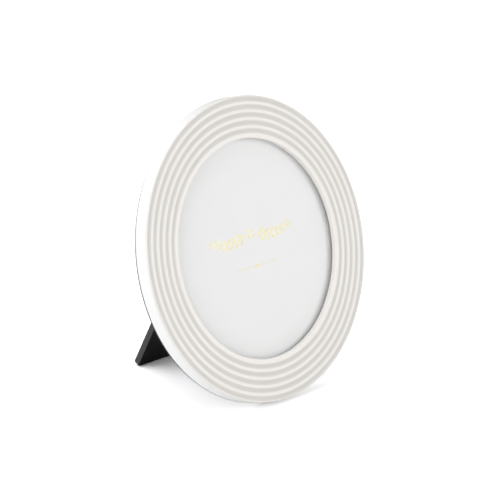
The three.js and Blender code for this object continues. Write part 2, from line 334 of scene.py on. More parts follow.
def lathe(name: str, profile: Sequence[Point], segments: int, paints: Sequence[int] = ()) -> Mesh:
    """Turns a (radius, depth) profile about the depth axis.

    Args:
        name: The mesh's name.
        profile: Points that start and end on the axis, or that go round a ring.
        segments: How many steps there are in a turn.
        paints: The material index of each span of the profile, or nothing for all alike.

    Returns:
        The turned mesh.
    """
    build = bmesh.new()
    rings: list[list[BMVert]] = []
    for radius, depth in profile:
        count = segments if radius > 0 else 1
        angles = [FULL_TURN * step / segments for step in range(count)]
        spots = [(radius * math.cos(a), depth, radius * math.sin(a)) for a in angles]
        rings.append([build.verts.new(spot) for spot in spots])
    spans = len(profile) if profile[0][0] > 0 else len(profile) - 1
    for span in range(spans):
        first, second = rings[span], rings[(span + 1) % len(rings)]
        for step in range(segments):
            here, there = step, (step + 1) % segments
            corners = [first[here % len(first)], first[there % len(first)]]
            corners += [second[there % len(second)], second[here % len(second)]]
            face = build.faces.new(list(dict.fromkeys(corners)))
            face.material_index = paints[span] if paints else 0
    return mesh_from(build, name)


def plates(name: str, outlines: Iterable[Sequence[Point]], inner: float, outer: float) -> Mesh:
    """Gives (across, height) outlines a thickness along the depth.

    Args:
        name: The mesh's name.
        outlines: The points of each closed outline.
        inner: Depth of one side.
        outer: Depth of the other side.

    Returns:
        The plates, as one mesh.
    """
    build = bmesh.new()
    for outline in outlines:
        near = [build.verts.new((x, inner, z)) for x, z in outline]
        far = [build.verts.new((x, outer, z)) for x, z in outline]
        build.faces.new(near)
        build.faces.new(far[::-1])
        for index in range(len(outline)):
            build.faces.new((near[index - 1], near[index], far[index], far[index - 1]))
    return mesh_from(build, name)


def bent_sheet(
    name: str,
    rows: Sequence[SheetRow],
    columns: Sequence[float],
    thickness: float,
    present: Callable[[int, int], bool],
) -> Mesh:
    """Builds a piece of bent sheet from a grid of cells.

    Args:
        name: The mesh's name.
        rows: The lines across the sheet.
        columns: Where the cells part, across the sheet.
        thickness: The sheet's thickness.
        present: Tells whether the cell at a row and a column has metal.

    Returns:
        The closed sheet.
    """
    build = bmesh.new()
    corners: dict[tuple[int, int, int], BMVert] = {}

    def corner(row: int, column: int, side: int) -> BMVert:
        """Gives a corner of the grid, which is made on first use.

        Args:
            row: Its row.
            column: Its column.
            side: 1 for the outer side of the sheet, -1 for the inner side.

        Returns:
            The corner.
        """
        key = (row, column, side)
        if key not in corners:
            line = rows[row]
            spot = line.middle + line.outward * (side * thickness / 2)
            across = max(-line.half_width, min(line.half_width, columns[column]))
            corners[key] = build.verts.new((across, spot.x, spot.y))
        return corners[key]

    grid = [(row, column) for row in range(len(rows) - 1) for column in range(len(columns) - 1)]
    cells = {cell for cell in grid if present(*cell)}
    for row, column in sorted(cells):
        around = [(row, column), (row, column + 1), (row + 1, column + 1), (row + 1, column)]
        beside = [(row - 1, column), (row, column + 1), (row + 1, column), (row, column - 1)]
        for side in (-1, 1):
            build.faces.new([corner(*spot, side) for spot in around])
        for index, neighbour in enumerate(beside):
            if neighbour not in cells:
                first, second = around[index], around[(index + 1) % len(around)]
                ends = [corner(*first, -1), corner(*second, -1), corner(*second, 1), corner(*first, 1)]
                build.faces.new(ends)
    return mesh_from(build, name)


def into_scene(name: str, data: ID) -> Object:
    """Makes an object and links it into the scene.

    Args:
        name: The object's name.
        data: What it shows: a mesh, a lamp or a camera.

    Returns:
        The object.
    """
    made = bpy.data.objects.new(name, data)
    bpy.context.scene.collection.objects.link(made)
    return made


def carve(body: Mesh, tools: Iterable[Mesh], cut: Cut) -> Mesh:
    """Cuts tools out of a mesh, or joins them to it.

    Args:
        body: The mesh to work on.
        tools: The meshes that meet it, in the same frame.
        cut: Whether they remove or join.

    Returns:
        A new mesh.
    """
    holder = into_scene("work_holder", body)
    helpers = [holder]
    for tool in tools:
        helpers.append(into_scene("work_tool", tool))
        modifier = holder.modifiers.new("carve", "BOOLEAN")
        modifier.operation = cut.value
        modifier.solver = "EXACT"
        modifier.object = helpers[-1]
    depsgraph = bpy.context.evaluated_depsgraph_get()
    result = bpy.data.meshes.new_from_object(holder.evaluated_get(depsgraph))
    result.name = body.name
    for helper in helpers:
        bpy.data.objects.remove(helper)
    return result


def drill(body: Mesh, radius: float, reach: Point, spots: Iterable[Point]) -> Mesh:
    """Drills round holes along the depth.

    Args:
        body: The mesh to work on.
        radius: The holes' radius.
        reach: Depth of both ends of the holes.
        spots: Each hole's place as (across, height).

    Returns:
        A new mesh.
    """
    low, high = reach
    pegs = []
    for across, height in spots:
        peg = lathe("hole", [(0, low), (radius, low), (radius, high), (0, high)], HOLE_SEGMENTS)
        peg.transform(Matrix.Translation((across, 0, height)))
        pegs.append(peg)
    return carve(body, pegs, Cut.REMOVE)


def soften(mesh: Mesh, width: float, steps: int = 3, sharp_deg: float = 40) -> Mesh:
    """Rounds off every sharp edge.

    Args:
        mesh: The mesh, which is changed.
        width: How far each round reaches from its edge.
        steps: How many straight steps a round takes.
        sharp_deg: The least angle between two faces that counts as sharp.

    Returns:
        The same mesh.
    """
    build = bmesh.new()
    build.from_mesh(mesh)
    least = math.radians(sharp_deg)
    edges = [edge for edge in build.edges if edge.is_manifold and edge.calc_face_angle() > least]
    bmesh.ops.bevel(build, geom=edges, offset=width, segments=steps, profile=0.5, affect="EDGES")
    build.to_mesh(mesh)
    build.free()
    return mesh


def level_foot(mesh: Mesh, place: Matrix) -> Mesh:
    """Cuts a mesh off level where it would reach below the floor.

    Args:
        mesh: The mesh, which is changed.
        place: The frame that it is drawn in.

    Returns:
        The same mesh.
    """
    build = bmesh.new()
    build.from_mesh(mesh)
    inward = place.inverted()
    down = inward.to_3x3() @ Vector((0, 0, -1))
    everything = build.verts[:] + build.edges[:] + build.faces[:]
    level = inward @ Vector((0, 0, 0))
    bmesh.ops.bisect_plane(build, geom=everything, plane_co=level, plane_no=down, clear_outer=True)
    bmesh.ops.holes_fill(build, edges=[edge for edge in build.edges if edge.is_boundary])
    build.to_mesh(mesh)
    build.free()
    return mesh


def dress(mesh: Mesh, *materials: Material) -> Mesh:
    """Gives a mesh its materials.

    Args:
        mesh: The mesh, which is changed.
        materials: The materials, in the order of the mesh's indices.

    Returns:
        The same mesh.
    """
    for material in materials:
        mesh.materials.append(material)
    return mesh


def wrap_board(mesh: Mesh, paper: Material, edge: Material) -> Mesh:
    """Gives a board one finish on its broad faces and another on its edges.

    Args:
        mesh: The board, drawn with its thickness along the depth, which is changed.
        paper: The material of its broad faces.
        edge: The material of its edges.

    Returns:
        The same mesh.
    """
    for face in dress(mesh, paper, edge).polygons:
        face.material_index = 0 if abs(face.normal.y) > BROAD_FACE else 1
    return mesh


def add_piece(name: str, mesh: Mesh, place: Matrix) -> Object:
    """Puts a dressed mesh into the scene with smooth faces and crisp edges.

    Args:
        name: The piece's name.
        mesh: Its mesh.
        place: The frame that it is drawn in.

    Returns:
        The new piece.
    """
    mesh.shade_smooth()
    mesh.set_sharp_from_angle(angle=CRISP_EDGE)
    piece = into_scene(name, mesh)
    piece.matrix_world = place
    weights = piece.modifiers.new("even shading", "WEIGHTED_NORMAL")
    weights.keep_sharp = True
    return piece


def settle(name: str, mesh: Mesh, place: Matrix, body: Body, slot: Slot | None, *nodes: str) -> None:
    """Adds a piece, hands it to the body that carries it, and reports it.

    Args:
        name: The piece's name.
        mesh: Its dressed mesh.
        place: The frame that it is drawn in.
        body: The body that it rides on.
        slot: The record's slot for its finish, if it has one; not used.
        nodes: The solids that it stands for.
    """
    piece = add_piece(name, mesh, place)
    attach(piece, body.value)
    if nodes:
        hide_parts(*nodes)
    LOG.info("%s rides on %s with %d faces", name, body.value, len(mesh.polygons))


# Surface effects


class Canvas:
    """A node tree with short ways to add nodes and to feed them."""

    def __init__(self, tree: NodeTree) -> None:
        """Keeps the tree that the nodes go on."""
        self.tree = tree

    def fill(self, node: Node, sources: Sources) -> None:
        """Feeds inputs of a node.

        Args:
            node: The node.
            sources: For each input's name or place, the output to link or the plain value to set.
        """
        for key, source in sources.items():
            if isinstance(source, NodeSocket):
                self.tree.links.new(source, node.inputs[key])
            else:
                node.inputs[key].default_value = source

    def add(self, kind: str, sources: Sources | None = None, **settings: Any) -> Node:
        """Adds a node.

        Args:
            kind: The node's type.
            sources: What feeds its inputs.
            settings: Its settings, which are made first.

        Returns:
            The node.
        """
        node = self.tree.nodes.new(kind)
        for name, value in settings.items():
            setattr(node, name, value)
        self.fill(node, sources or {})
        return node

    def math(self, operation: str, first: Any, second: Any) -> NodeSocket:
        """Adds a calculation with two sockets or numbers, and returns the result's socket."""
        return self.add("ShaderNodeMath", {0: first, 1: second}, operation=operation).outputs[0]

    def dot(self, first: Any, second: Any) -> NodeSocket:
        """Adds how far two directions agree, and returns the result's socket."""
        node = self.add("ShaderNodeVectorMath", {0: first, 1: second}, operation="DOT_PRODUCT")
        return node.outputs["Value"]

    def height(self, spot: NodeSocket) -> NodeSocket:
        """Adds the height of a place or a direction, and returns its socket."""
        return self.add("ShaderNodeSeparateXYZ", {"Vector": spot}).outputs["Z"]

    def blend(self, share: NodeSocket, first: Any, second: Any) -> NodeSocket:
        """Adds a blend of two colours, and returns the result's socket."""
        sources = {"Factor": share, "A": first, "B": second}
        return self.add("ShaderNodeMix", sources, data_type="RGBA").outputs["Result"]

    def span(self, value: NodeSocket, source: tuple[Any, Any], target: Point) -> NodeSocket:
        """Adds a soft step from one range to another.

        Args:
            value: The value to follow.
            source: Where the step starts and ends.
            target: What it puts out there.

        Returns:
            The result's socket.
        """
        names = ("From Min", "From Max", "To Min", "To Max")
        sources = {"Value": value, **dict(zip(names, (*source, *target)))}
        node = self.add("ShaderNodeMapRange", sources, interpolation_type="SMOOTHSTEP")
        return node.outputs["Result"]

    def noise(self, scale: NodeSocket, detail: float, stretch: NodeSocket | None = None) -> NodeSocket:
        """Adds a noise over the piece.

        Args:
            scale: Its scale, per metre.
            detail: How many finer layers it has.
            stretch: How the three axes are stretched, if they are.

        Returns:
            The noise's value.
        """
        spot = self.add("ShaderNodeTexCoord").outputs["Object"]
        if stretch is not None:
            spot = self.add("ShaderNodeVectorMath", {0: spot, 1: stretch}, operation="MULTIPLY").outputs[0]
        node = self.add("ShaderNodeTexNoise", {"Vector": spot, "Scale": scale, "Detail": detail})
        return node.outputs["Fac"]


@dataclass
class EffectShelf:
    """Builds each shared effect once, as a node group, and hands it out."""

    noise_middle: float = 0.5
    cloud_detail: float = 3.0
    smear_detail: float = 2.0
    smear_fineness: float = 6.0
    grain_detail: float = 4.0
    wear_detail: float = 3.0
    wear_gain: float = 6.0
    wear_samples: int = 4
    made: dict[Effect, NodeTree] = field(default_factory=dict)

    def take(self, effect: Effect) -> NodeTree:
        """Hands out an effect, which is built on first use.

        Args:
            effect: Which effect.

        Returns:
            Its node group.
        """
        if effect not in self.made:
            makers = {Effect.MOTTLE: self._mottle, Effect.GRAIN: self._grain}
            makers |= {Effect.WEAR: self._wear, Effect.RISE: self._rise}
            self.made[effect] = makers[effect]()
        return self.made[effect]

    @staticmethod
    def _group(effect: Effect, takes: dict[str, str], gives: dict[str, str]) -> tuple[Canvas, Any, Node]:
        """Starts a group with its sockets.

        Args:
            effect: The effect that it holds.
            takes: The inputs' names and kinds.
            gives: The outputs' names and kinds.

        Returns:
            The canvas, the inputs' sockets and the node of the outputs.
        """
        tree = bpy.data.node_groups.new(effect.value, "ShaderNodeTree")
        for way, sockets in (("INPUT", takes), ("OUTPUT", gives)):
            for name, kind in sockets.items():
                tree.interface.new_socket(name, in_out=way, socket_type=f"NodeSocket{kind}")
        canvas = Canvas(tree)
        return canvas, canvas.add("NodeGroupInput").outputs, canvas.add("NodeGroupOutput")

    def _mottle(self) -> NodeTree:
        """Builds the slow change of colour and gloss over a hand-finished surface.

        Returns:
            The node group.
        """
        takes = {"Colour": "Color", "Depth": "Float", "Scale": "Float"}
        takes |= {"Roughness": "Float", "Spread": "Float"}
        gives = {"Colour": "Color", "Roughness": "Float"}
        canvas, source, result = self._group(Effect.MOTTLE, takes, gives)
        cloud = canvas.math("SUBTRACT", canvas.noise(source["Scale"], self.cloud_detail), self.noise_middle)
        gain = canvas.math("ADD", canvas.math("MULTIPLY", cloud, source["Depth"]), 1.0)
        sources = {"Vector": source["Colour"], "Scale": gain}
        tinted = canvas.add("ShaderNodeVectorMath", sources, operation="SCALE")
        finer = canvas.math("MULTIPLY", source["Scale"], self.smear_fineness)
        smear = canvas.math("SUBTRACT", canvas.noise(finer, self.smear_detail), self.noise_middle)
        rough = canvas.math("ADD", canvas.math("MULTIPLY", smear, source["Spread"]), source["Roughness"])
        canvas.fill(result, {"Colour": tinted.outputs["Vector"], "Roughness": rough})
        return canvas.tree

    def _grain(self) -> NodeTree:
        """Builds the fine unevenness that a bump reads.

        Returns:
            The node group.
        """
        takes = {"Scale": "Float", "Stretch": "Vector"}
        canvas, source, result = self._group(Effect.GRAIN, takes, {"Height": "Float"})
        height = canvas.noise(source["Scale"], self.grain_detail, source["Stretch"])
        canvas.fill(result, {"Height": height})
        return canvas.tree

    def _wear(self) -> NodeTree:
        """Builds the mask of edges that are rubbed in use.

        Returns:
            The node group.
        """
        takes = {"Width": "Float", "Scale": "Float"}
        canvas, source, result = self._group(Effect.WEAR, takes, {"Mask": "Float"})
        bevel = canvas.add("ShaderNodeBevel", {"Radius": source["Width"]}, samples=self.wear_samples)
        plain = canvas.add("ShaderNodeNewGeometry").outputs["Normal"]
        facing = canvas.dot(bevel.outputs["Normal"], plain)
        edge = canvas.math("MULTIPLY", canvas.math("SUBTRACT", 1.0, facing), self.wear_gain)
        patchy = canvas.math("MULTIPLY", edge, canvas.noise(source["Scale"], self.wear_detail))
        canvas.fill(result, {"Mask": canvas.math("MINIMUM", patchy, 1.0)})
        return canvas.tree

    def _rise(self) -> NodeTree:
        """Builds the soft change from one colour to another up the piece. The painted shade at the rim's
        back edge and window seat fades out upwards with it.

        Returns:
            The node group.
        """
        takes = {"Low colour": "Color", "High colour": "Color", "Start": "Float", "End": "Float"}
        canvas, source, result = self._group(Effect.RISE, takes, {"Colour": "Color"})
        height = canvas.height(canvas.add("ShaderNodeTexCoord").outputs["Object"])
        share = canvas.span(height, (source["Start"], source["End"]), (0, 1))
        canvas.fill(result, {"Colour": canvas.blend(share, source["Low colour"], source["High colour"])})
        return canvas.tree


# Finishes


def blank_material(name: str) -> tuple[Material, Canvas]:
    """Makes a material to build a finish in.

    Args:
        name: The material's name.

    Returns:
        The material, and the canvas of its nodes.
    """
    made = bpy.data.materials.new(name)
    made.use_nodes = True
    return made, Canvas(made.node_tree)


@dataclass(frozen=True)
class Finish:
    """An opaque finish: its colour, gloss, mottle, grain and rubbed edges."""

    name: str
    colour: Colour
    roughness: float
    spread: float = 0.08
    mottle: float = 0.04
    mottle_size: float = 20 * MM
    grain_size: float = 0.5 * MM
    grain_stretch: tuple[float, float, float] = (1, 1, 1)
    grain_height: float = 0.01 * MM
    metallic: float = 0.0
    specular: float = 0.5
    coat: float = 0.0
    coat_roughness: float = 0.2
    worn_colour: Colour | None = None
    worn_width: float = 0.3 * MM
    # The colour high up the piece, which the painted shade finishes fade to.
    high_colour: Colour | None = None
    high_span: Point = (0, 0)

    def material(self, shelf: EffectShelf) -> Material:
        """Builds the finish as a material.

        Args:
            shelf: Where the shared effects are kept.

        Returns:
            The material.
        """
        made, canvas = blank_material(self.name)
        sources = {"Colour": (*self.colour, 1), "Depth": self.mottle, "Scale": 1 / self.mottle_size}
        sources |= {"Roughness": self.roughness, "Spread": self.spread}
        mottle = canvas.add("ShaderNodeGroup", sources, node_tree=shelf.take(Effect.MOTTLE)).outputs
        sources = {"Scale": 1 / self.grain_size, "Stretch": self.grain_stretch}
        grain = canvas.add("ShaderNodeGroup", sources, node_tree=shelf.take(Effect.GRAIN)).outputs
        bump = canvas.add("ShaderNodeBump", {"Distance": self.grain_height, "Height": grain["Height"]})
        canvas.fill(canvas.tree.nodes["Principled BSDF"], {
            "Base Color": self._worn(canvas, shelf, self._risen(canvas, shelf, mottle["Colour"])),
            "Roughness": mottle["Roughness"],
            "Metallic": self.metallic,
            "Specular IOR Level": self.specular,
            "Coat Weight": self.coat,
            "Coat Roughness": self.coat_roughness,
            "Normal": bump.outputs["Normal"],
        })
        return made

    def _risen(self, canvas: Canvas, shelf: EffectShelf, low: NodeSocket) -> NodeSocket:
        """Turns the colour into another one higher up the piece, where the finish has one.

        Args:
            canvas: The material's nodes.
            shelf: Where the shared effects are kept.
            low: The colour low on the piece.

        Returns:
            The colour to use.
        """
        if self.high_colour is None:
            return low
        start, end = self.high_span
        sources = {"Low colour": low, "High colour": (*self.high_colour, 1), "Start": start, "End": end}
        rise = canvas.add("ShaderNodeGroup", sources, node_tree=shelf.take(Effect.RISE))
        return rise.outputs["Colour"]

    def _worn(self, canvas: Canvas, shelf: EffectShelf, plain: NodeSocket) -> NodeSocket:
        """Lays the worn colour over the edges, where the finish has one.

        Args:
            canvas: The material's nodes.
            shelf: Where the shared effects are kept.
            plain: The colour away from the edges.

        Returns:
            The colour to use.
        """
        if self.worn_colour is None:
            return plain
        sources = {"Width": self.worn_width, "Scale": 1 / self.mottle_size}
        wear = canvas.add("ShaderNodeGroup", sources, node_tree=shelf.take(Effect.WEAR))
        return canvas.blend(wear.outputs["Mask"], plain, (*self.worn_colour, 1))


@dataclass(frozen=True)
class ClearGlass:
    """Polished sheet glass that lets the light through to what lies behind it."""

    name: str = "polished sheet glass"
    colour: Colour = (0.985, 0.995, 0.992)
    roughness: float = 0.0
    index: float = 1.5

    def material(self) -> Material:
        """Builds the glass as a material.

        Returns:
            The material.
        """
        made, canvas = blank_material(self.name)
        shader = canvas.tree.nodes["Principled BSDF"]
        canvas.fill(shader, {"Base Color": (*self.colour, 1), "Roughness": self.roughness})
        canvas.fill(shader, {"IOR": self.index, "Transmission Weight": 1.0})
        path = canvas.add("ShaderNodeLightPath").outputs
        passes = canvas.math("MAXIMUM", path["Is Shadow Ray"], path["Is Diffuse Ray"])
        clear = canvas.add("ShaderNodeBsdfTransparent")
        sources = {"Fac": passes, 1: shader.outputs["BSDF"], 2: clear.outputs["BSDF"]}
        mix = canvas.add("ShaderNodeMixShader", sources)
        canvas.fill(canvas.tree.nodes["Material Output"], {"Surface": mix.outputs["Shader"]})
        return made


@dataclass(frozen=True)
class StudioSweep:
    """The white floor, which the camera sees brighter than it lights the part."""

    name: str = "white studio sweep"
    seen: float = 1.45
    lighting: float = 0.85

    def material(self) -> Material:
        """Builds the sweep as a material.

        Returns:
            The material.
        """
        made, canvas = blank_material(self.name)
        for_camera = canvas.add("ShaderNodeLightPath").outputs["Is Camera Ray"]
        soft = (self.lighting, self.lighting, self.lighting, 1)
        bright = (self.seen, self.seen, self.seen, 1)
        matt = canvas.add("ShaderNodeBsdfDiffuse", {"Color": canvas.blend(for_camera, soft, bright)})
        canvas.fill(canvas.tree.nodes["Material Output"], {"Surface": matt.outputs["BSDF"]})
        return made


CREAM_LACQUER = Finish(
    "cream satin lacquer", (0.80, 0.775, 0.735), 0.42, mottle=0.03, mottle_size=30 * MM,
    grain_size=1.2 * MM, grain_height=0.004 * MM, coat=0.12,
)
WHITE_LACQUER = replace(
    CREAM_LACQUER, name="white satin lacquer", colour=(0.92, 0.92, 0.915), mottle=0.02,
)
GREY_PRIMER = Finish(
    "grey primer", (0.46, 0.455, 0.44), 0.75, mottle=0.10, mottle_size=14 * MM,
    grain_size=0.8 * MM, grain_height=0.012 * MM, specular=0.35,
)
# Painted shade on the window seat, where the lip meets the glass: dark low down, fading to white higher up
# the piece.
SEAT_SHADE_PAINT = replace(
    GREY_PRIMER, name="painted shade at the window seat", colour=(0.09, 0.09, 0.088), roughness=0.60,
    grain_height=0.008 * MM, specular=0.4,
    high_colour=WHITE_LACQUER.colour, high_span=(6 * MM, 62 * MM),
)
# Painted shade along the back edge of the rim's wall: dark low down, fading to white higher up the piece.
BACK_SHADE_PAINT = replace(
    SEAT_SHADE_PAINT, name="painted shade at the back edge", colour=(0.06, 0.06, 0.058),
    high_span=(-24 * MM, 100 * MM),
)
GREY_LACQUER = Finish(
    "soft grey lacquer", (0.605, 0.586, 0.556), 0.48, mottle=0.05, mottle_size=24 * MM,
    grain_size=0.9 * MM, grain_height=0.004 * MM, coat=0.08,
)
FEATHERED_LACQUER = replace(GREY_LACQUER, name="feathered grey lacquer", colour=(0.70, 0.678, 0.643))
COATS = {
    Coat.CREAM: CREAM_LACQUER,
    Coat.GREY: GREY_LACQUER,
    Coat.WHITE: WHITE_LACQUER,
    Coat.PRIMER: GREY_PRIMER,
    Coat.THIN: SEAT_SHADE_PAINT,
    Coat.BACK_SHADE: BACK_SHADE_PAINT,
    Coat.FEATHER: FEATHERED_LACQUER,
}
PALE_CARD = Finish(
    "matt pale card", (0.85, 0.845, 0.84), 0.85, mottle=0.02, mottle_size=12 * MM,
    grain_size=0.25 * MM, grain_height=0.006 * MM, specular=0.3,
)
PALE_GOLD = Finish(
    "pale gold foil", (0.80, 0.72, 0.40), 0.46, mottle=0.10, mottle_size=3 * MM,
    grain_size=0.2 * MM, grain_height=0.002 * MM, metallic=0.3,
)
BLACK_PAPER = Finish(
    "matt black paper", (0.0076, 0.0078, 0.0086), 0.62, mottle=0.25, mottle_size=9 * MM,
    grain_size=0.45 * MM, grain_height=0.03 * MM, specular=0.13,
    worn_colour=(0.055, 0.055, 0.055), worn_width=0.35 * MM,
)
# The boards' edges: raw board a little lighter than the paper, lightened further as painted light for the
# light that the edges catch.
RAW_EDGE_WITH_PAINTED_LIGHT = Finish(
    "raw board edge with painted light", (0.055, 0.055, 0.056), 0.70, mottle=0.35, mottle_size=1.5 * MM,
    grain_size=0.3 * MM, grain_stretch=(1, 3, 1), grain_height=0.04 * MM, specular=0.4,
)
PLATED_STEEL = Finish(
    "plated sheet steel", (0.56, 0.57, 0.58), 0.34, mottle=0.12, mottle_size=4 * MM,
    grain_size=0.12 * MM, grain_stretch=(0.08, 1, 1), grain_height=0.004 * MM, metallic=1.0,
    worn_colour=(0.74, 0.75, 0.76), worn_width=0.25 * MM,
)
SATIN_BRASS = Finish(
    "satin brass plate", (0.66, 0.49, 0.22), 0.36, mottle=0.15, mottle_size=3 * MM,
    grain_size=0.12 * MM, grain_stretch=(1, 1, 0.08), grain_height=0.004 * MM, metallic=1.0,
    worn_colour=(0.82, 0.66, 0.36), worn_width=0.25 * MM,
)


@dataclass
class Palette:
    """Every material of the scene, built once."""

    shelf: EffectShelf

    def __post_init__(self) -> None:
        """Builds the materials."""
        self.coats = [COATS[coat].material(self.shelf) for coat in Coat]
        self.glass = ClearGlass().material()
        self.card = PALE_CARD.material(self.shelf)
        self.gold = PALE_GOLD.material(self.shelf)
        self.paper = BLACK_PAPER.material(self.shelf)
        self.board_edge = RAW_EDGE_WITH_PAINTED_LIGHT.material(self.shelf)
        self.steel = PLATED_STEEL.material(self.shelf)
        self.brass = SATIN_BRASS.material(self.shelf)
        self.sweep = StudioSweep().material()


# Sub-assemblies


@dataclass
class SceneGroup:
    """Things in the scene that are placed from the bench and dressed from the palette."""

    bench: Bench
    palette: Palette

    def build(self) -> None:
        """Builds the group and puts it into the scene."""
        raise NotImplementedError


@dataclass
class Rim(SceneGroup):
    """The turned rim: a flat face with sunk grey stripes, a window lip and a rebate behind it."""

    lip_depth: float = 3.3 * MM
    rebate_play: float = 0.4 * MM
    window_round: float = 0.6 * MM
    front_round: float = 0.7 * MM
    back_round: float = 1.0 * MM
    inner_round: float = 0.25 * MM
    seat_round: float = 0.7 * MM
    # Width of the band of painted shade at the back of the wall.
    back_shade_band: float = 0.4 * MM
    stripe_pitch: float = 4.144 * MM
    stripe_width: float = 2.784 * MM
    stripe_depth: float = 0.25 * MM
    stripe_slope: float = 0.55 * MM
    stripe_count: int = 5
    screw_hole: float = 1.25 * MM
    screw_bite: float = 4.8 * MM
    segments: int = 288
    round_steps: int = 8
    slope_steps: int = 5

    def __post_init__(self) -> None:
        """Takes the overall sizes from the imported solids."""
        high = self.bench.extent("frame_ring", self.bench.upright)[1]
        self.radius, self.depth = high.x, high.y
        self.rebate = self.bench.extent("glass_pane", self.bench.upright)[1].x + self.rebate_play
        self.window = self.bench.bore("frame_ring")

    def stripe(self, outer: float) -> list[Point]:
        """Draws one sunk stripe, with soft slopes at both sides.

        Args:
            outer: The stripe's outer radius.

        Returns:
            The points from its inner edge to its outer edge.
        """
        shares = [step / self.slope_steps for step in range(self.slope_steps + 1)]
        inner = outer - self.stripe_width
        falls = [(inner + self.stripe_slope * s, self.stripe_depth * ease(s)) for s in shares]
        climb = outer - self.stripe_slope
        rises = [(climb + self.stripe_slope * s, self.stripe_depth * ease(1 - s)) for s in shares]
        return falls + rises

    def profile(self) -> tuple[list[Point], list[int]]:
        """Draws the rim's section, from the window's front edge round the face, wall, back and rebate.

        Returns:
            The points, and for each the material index of the span that it starts.
        """
        turned = 3 * QUARTER_TURN
        lip = (self.window + self.window_round, self.window_round)
        points = arc(lip, self.window_round, HALF_TURN, turned, self.round_steps)
        coats = [Coat.CREAM] * len(points)
        edge = self.radius - self.front_round
        slope = [Coat.FEATHER] * self.slope_steps
        for index in reversed(range(self.stripe_count)):
            points += self.stripe(edge - index * self.stripe_pitch)
            coats += slope + [Coat.GREY] + slope + [Coat.CREAM]
        front = arc((edge, self.front_round), self.front_round, turned, FULL_TURN, self.round_steps)
        points += front[1:]
        coats += [Coat.CREAM] * (len(front) - 2)
        # The wall ends in a band of painted shade at the back edge, which runs over half the back round.
        points.append((self.radius, self.depth - self.back_round - self.back_shade_band))
        coats += [Coat.WHITE] + [Coat.BACK_SHADE] * (1 + self.round_steps // 2)
        back = (self.radius - self.back_round, self.depth - self.back_round)
        points += arc(back, self.back_round, 0, QUARTER_TURN, self.round_steps)
        mouth = (self.rebate + self.inner_round, self.depth - self.inner_round)
        points += arc(mouth, self.inner_round, QUARTER_TURN, HALF_TURN, self.round_steps)
        points.append((self.rebate, self.lip_depth))
        seat = (self.window + self.seat_round, self.lip_depth - self.seat_round)
        seat_round = arc(seat, self.seat_round, QUARTER_TURN, HALF_TURN, self.round_steps)
        coats += [Coat.PRIMER] * (len(points) - len(coats))
        points += seat_round
        # The seat round, where the lip meets the glass, carries painted shade.
        coats += [Coat.THIN] * (len(seat_round) - 1) + [Coat.CREAM]
        return points, [coat.value for coat in coats]

    def build(self) -> None:
        """Builds the rim with its screw holes, and dresses it."""
        points, paints = self.profile()
        mesh = dress(lathe("striped_rim", points, self.segments, paints), *self.palette.coats)
        inward = self.bench.upright.inverted()
        screws = [inward @ self.bench.swivel(number).translation for number in BUTTON_NUMBERS]
        reach = (self.depth - self.screw_bite, self.depth + DRILL_PAST)
        mesh = drill(mesh, self.screw_hole, reach, [(screw.x, screw.z) for screw in screws])
        settle("striped_rim", mesh, self.bench.upright, Body.FRAME, Slot.RIM, "frame_ring")


